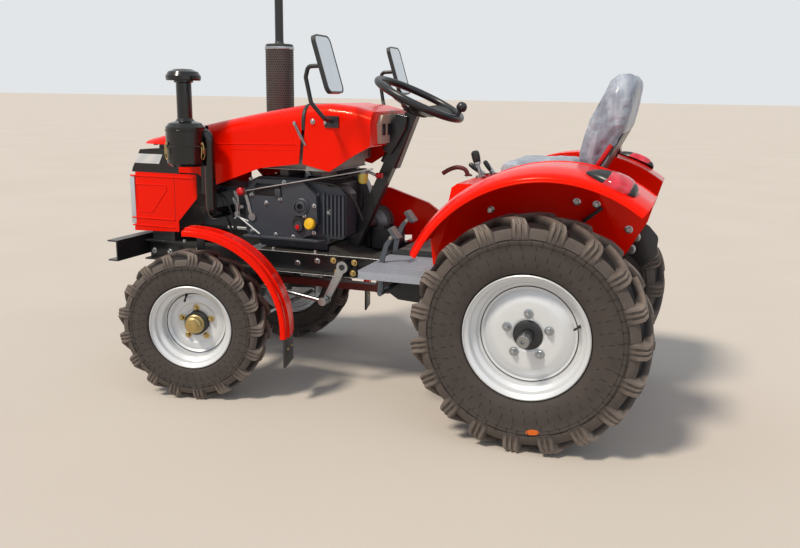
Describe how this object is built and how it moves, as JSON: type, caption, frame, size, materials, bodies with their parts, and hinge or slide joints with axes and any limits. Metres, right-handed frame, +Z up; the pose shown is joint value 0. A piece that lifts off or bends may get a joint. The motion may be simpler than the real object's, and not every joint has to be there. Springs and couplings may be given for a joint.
{
  "type": "compact tractor",
  "caption": "Compact open-platform tractor with a belt-driven single-cylinder engine, steered front wheels, opening hood, rear drawbar and top-link lugs.",
  "frame": {"origin": "on the floor under the middle of the machine's bounding box", "axes": "+X forward to the bumper, +Y to the driver's left, +Z up"},
  "size_m": [2.2036, 1.201, 1.69],
  "materials": {
    "belt": "black belt rubber",
    "black_paint": "semi-gloss black paint",
    "black_plastic": "black moulded plastic and enamel",
    "cast": "blue-grey engine paint on castings",
    "clear_lens": "clear plastic",
    "core": "dark finned core on a black cross block",
    "grey_paint": "dark grey paint on chequered plate",
    "lamp": "pale lamp face in a black rim",
    "mirror": "mirror glass",
    "pale_plastic": "pale moulded plastic",
    "red_lens": "clear red plastic",
    "red_paint": "glossy orange-red paint",
    "seat_film": "dark seat cover under clear film",
    "silver_paint": "silver paint",
    "steel": "bare and zinc-plated steel",
    "tyre": "dusty dark rubber"
  },
  "bodies": {
    "chassis": {"air_cleaner": "black_plastic", "battery": "black_plastic", "belt_guard": "red_paint", "belt_pulleys": "cast", "cowl": "red_paint", "dash": "pale_plastic", "drive_belts": "belt", "drive_stub": "steel", "engine": "cast", "exhaust": "steel", "fender_left": "red_paint", "fender_right": "red_paint", "footplates": "grey_paint", "frame_rails": "black_paint", "front_axle": "black_paint", "front_bumper": "black_paint", "fuel_tank": "pale_plastic", "gear_cover": "cast", "grille": "silver_paint", "headlamp_band": "black_paint", "headlamp_lenses": "clear_lens", "levers": "steel", "mirror_glass": "mirror", "mirrors": "black_paint", "nose_panel": "red_paint", "pedals": "grey_paint", "radiator": "core", "radius_rod": "red_paint", "rear_hitch": "grey_paint", "seat_back": "seat_film", "seat_cushion": "seat_film", "seat_deck": "red_paint", "seat_pan": "black_plastic", "steering_box": "black_paint", "steering_column": "black_paint", "tail_lamp_housings": "black_paint", "tail_lamp_lenses": "red_lens", "throttle": "steel", "transmission": "cast", "work_lamp": "lamp"},
    "hood": {"hood": "red_paint"},
    "knuckle_left": {"knuckle_left": "black_paint", "front_fender_left": "red_paint"},
    "knuckle_right": {"knuckle_right": "black_paint", "front_fender_right": "red_paint"},
    "front_wheel_left": {"tyre_front_left": "tyre", "wheel_front_left": "silver_paint"},
    "front_wheel_right": {"tyre_front_right": "tyre", "wheel_front_right": "silver_paint"},
    "rear_wheel_left": {"tyre_rear_left": "tyre", "wheel_rear_left": "silver_paint"},
    "rear_wheel_right": {"tyre_rear_right": "tyre", "wheel_rear_right": "silver_paint"},
    "tie_rod": {"tie_rod": "steel"},
    "pitman_arm": {"pitman_arm": "steel"},
    "drag_link": {"drag_link": "steel"},
    "steering_wheel": {"steering_wheel": "black_plastic"}
  },
  "joints": [
    {"name": "rear_left_spin", "type": "hinge", "parent": "chassis", "child": "rear_wheel_left", "pos_m": [-0.6915, 0.457, 0.41114], "axis": [0, 1, 0], "continuous": true},
    {"name": "rear_right_spin", "type": "hinge", "parent": "chassis", "child": "rear_wheel_right", "pos_m": [-0.6915, -0.457, 0.41114], "axis": [0, 1, 0], "continuous": true},
    {"name": "steer_left", "type": "hinge", "parent": "chassis", "child": "knuckle_left", "pos_m": [0.6645, 0.385, 0.342], "axis": [0, 0, 1], "range_deg": [-36.5, 5.5]},
    {"name": "steer_right", "type": "hinge", "parent": "chassis", "child": "knuckle_right", "pos_m": [0.6645, -0.385, 0.342], "axis": [0, 0, 1], "range_deg": [-36.5, 5.5]},
    {"name": "front_left_spin", "type": "hinge", "parent": "knuckle_left", "child": "front_wheel_left", "pos_m": [0.64827, 0.45822, 0.29746], "axis": [-0.2164, 0.9763, 0], "continuous": true},
    {"name": "front_right_spin", "type": "hinge", "parent": "knuckle_right", "child": "front_wheel_right", "pos_m": [0.68073, -0.45822, 0.29746], "axis": [-0.2164, 0.9763, 0], "continuous": true},
    {"name": "tie_rod_pivot", "type": "hinge", "parent": "knuckle_left", "child": "tie_rod", "pos_m": [0.54734, 0.35903, 0.252], "axis": [0, 0, 1], "range_deg": [-5.5, 36.5]},
    {"name": "drag_link_pivot", "type": "hinge", "parent": "knuckle_left", "child": "drag_link", "pos_m": [0.69848, 0.23172, 0.458], "axis": [0, 0, 1], "range_deg": [-5.5, 36.5]},
    {"name": "pitman_pivot", "type": "hinge", "parent": "chassis", "child": "pitman_arm", "pos_m": [0.1055, 0.236, 0.531], "axis": [0, -1, 0], "range_deg": [-36.5, 5.5]},
    {"name": "steering_wheel_turn", "type": "hinge", "parent": "chassis", "child": "steering_wheel", "pos_m": [-0.1255, 0, 1.188], "axis": [-0.4147, 0, 0.91], "range_deg": [-438, 66]},
    {"name": "hood_hinge", "type": "hinge", "parent": "chassis", "child": "hood", "pos_m": [1.0085, 0, 0.984], "axis": [0, 1, 0], "range_deg": [0, 48]}
  ],
  "couplings": [
    {"joint": "steer_right", "follows": "steer_left", "ratio": 1},
    {"joint": "tie_rod_pivot", "follows": "steer_left", "ratio": -1},
    {"joint": "drag_link_pivot", "follows": "steer_left", "ratio": -1},
    {"joint": "pitman_pivot", "follows": "steer_left", "ratio": 1},
    {"joint": "steering_wheel_turn", "follows": "steer_left", "ratio": 12}
  ]
}
